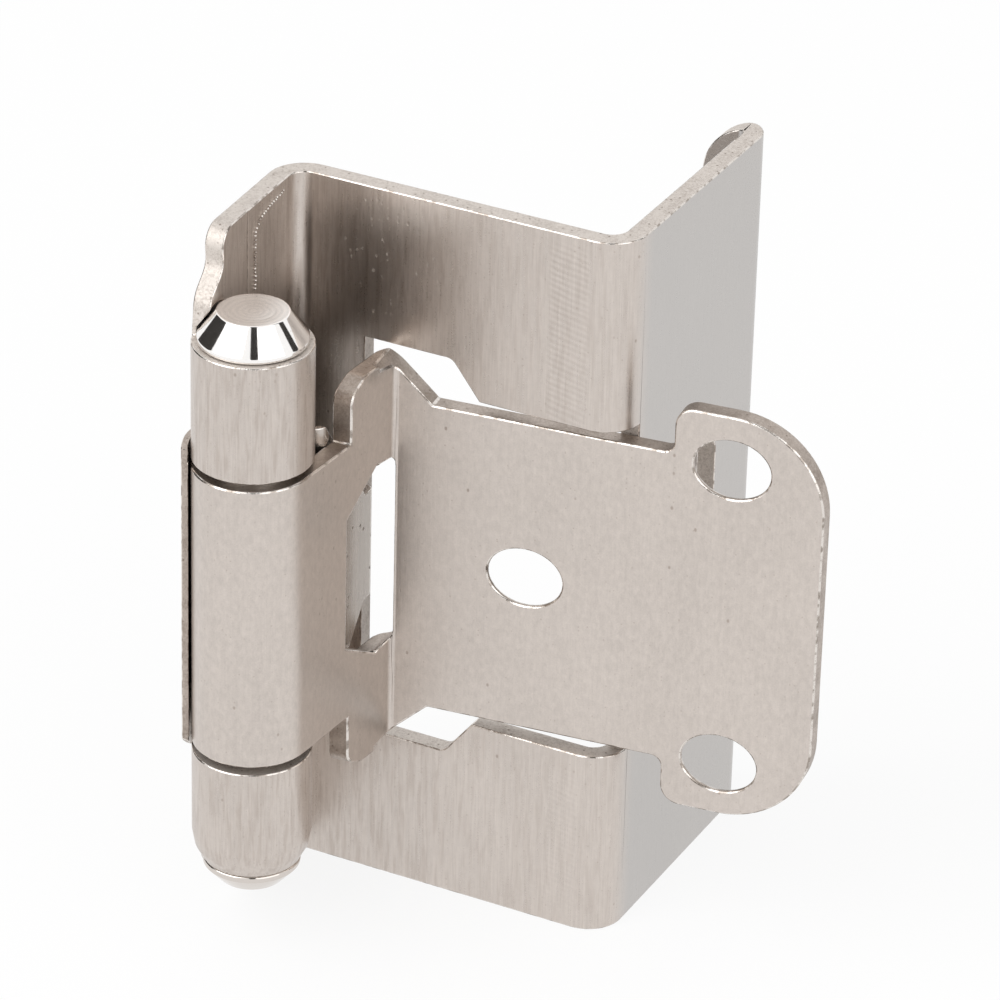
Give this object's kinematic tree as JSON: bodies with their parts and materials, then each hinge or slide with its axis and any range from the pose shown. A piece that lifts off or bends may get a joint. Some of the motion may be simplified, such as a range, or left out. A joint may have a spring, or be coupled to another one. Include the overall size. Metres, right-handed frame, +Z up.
{
  "type": "self-closing cabinet hinge",
  "caption": "Self-closing cabinet hinge: a folded wing wraps the face frame, a slotted door wing swings on a riveted pin, and a leaf spring closes it.",
  "frame": {"origin": "on the hinge pin's axis, halfway up the frame wing", "axes": "+X along the frame wing's front plate away from the barrel, +Y back into the cabinet, +Z up along the pin"},
  "size_m": [0.0428, 0.0408, 0.057],
  "materials": {
    "satin_nickel_frame": "satin nickel plate, brushed upright",
    "satin_nickel_door": "satin nickel plate, finely brushed",
    "bright_nickel_pin": "turned and polished nickel plate",
    "spring_steel": "nickel-plated spring strip"
  },
  "bodies": {
    "frame": {"frame_wing": "satin_nickel_frame", "hinge_pin": "bright_nickel_pin", "closing_spring": "spring_steel"},
    "door": {"door_wing": "satin_nickel_door"}
  },
  "joints": [
    {"name": "door_swing", "type": "hinge", "parent": "frame", "child": "door", "pos_m": [0, 0, 0], "axis": [0, 0, 1], "range_deg": [-150, 0], "stiffness_Nm_per_rad": 0.05, "springref_deg": 20.05}
  ]
}
